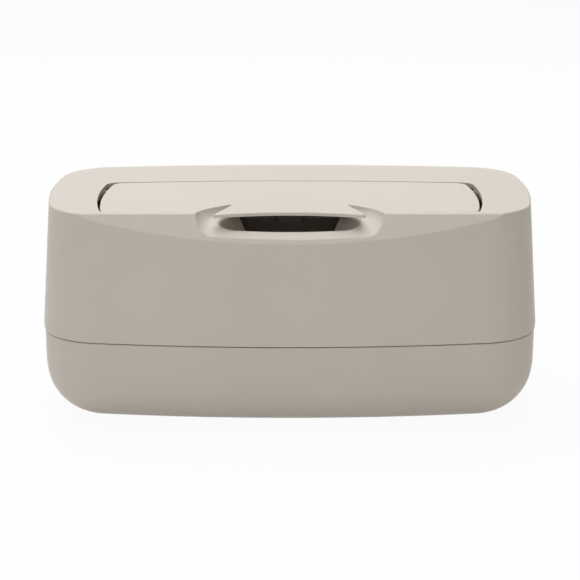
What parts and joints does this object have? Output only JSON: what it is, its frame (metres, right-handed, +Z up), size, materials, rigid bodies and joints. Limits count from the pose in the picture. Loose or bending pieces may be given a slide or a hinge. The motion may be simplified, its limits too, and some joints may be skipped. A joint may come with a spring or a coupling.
{
  "type": "wet wipes dispenser box",
  "caption": "Countertop box for wet wipes: rounded tray, lift-off casing with a sloping front facet, flush hinged lid with a finger tab, and a weight plate.",
  "frame": {"origin": "on the standing surface under the middle of the box", "axes": "+X along the longest side, +Z up, the finger tab of the lid faces -Y"},
  "size_m": [0.236, 0.128, 0.1009],
  "materials": {
    "casing_plastic": "fine satin texture, warm pale grey",
    "lid_plastic": "fine satin texture, warm pale grey",
    "inner_plastic": "smooth moulded plastic, warm pale grey",
    "silicone": "translucent soft silicone",
    "feet_silicone": "soft grey silicone",
    "pin_steel": "drawn stainless wire",
    "screw_steel": "zinc plated",
    "ballast_steel": "cut flat bar",
    "catch_plastic": "acetal"
  },
  "bodies": {
    "base": {"base_tray": "casing_plastic", "tray_seal": "silicone", "foot_front_left": "feet_silicone", "foot_front_right": "feet_silicone", "foot_rear_left": "feet_silicone", "foot_rear_right": "feet_silicone"},
    "housing": {"upper_shell": "casing_plastic", "inner_deck": "inner_plastic", "deck_screws": "screw_steel"},
    "lid": {"lid_top": "lid_plastic", "lid_liner": "inner_plastic", "lid_seal": "silicone", "lid_catch": "catch_plastic", "hinge_pin_left": "pin_steel", "hinge_pin_right": "pin_steel"},
    "weight_plate": {"plate_cover": "inner_plastic", "plate_base": "inner_plastic", "plate_screws": "screw_steel", "ballast_front": "ballast_steel", "ballast_rear": "ballast_steel"}
  },
  "joints": [
    {"name": "housing_lift", "type": "slide", "parent": "base", "child": "housing", "axis": [0, 0, 1], "range_m": [0, 0.12]},
    {"name": "lid_hinge", "type": "hinge", "parent": "housing", "child": "lid", "pos_m": [0, 0.008, 0.0979], "axis": [-1, 0, 0], "range_deg": [0, 100]},
    {"name": "plate_slide", "type": "slide", "parent": "base", "child": "weight_plate", "axis": [0, 0, 1], "range_m": [0, 0.055]}
  ]
}
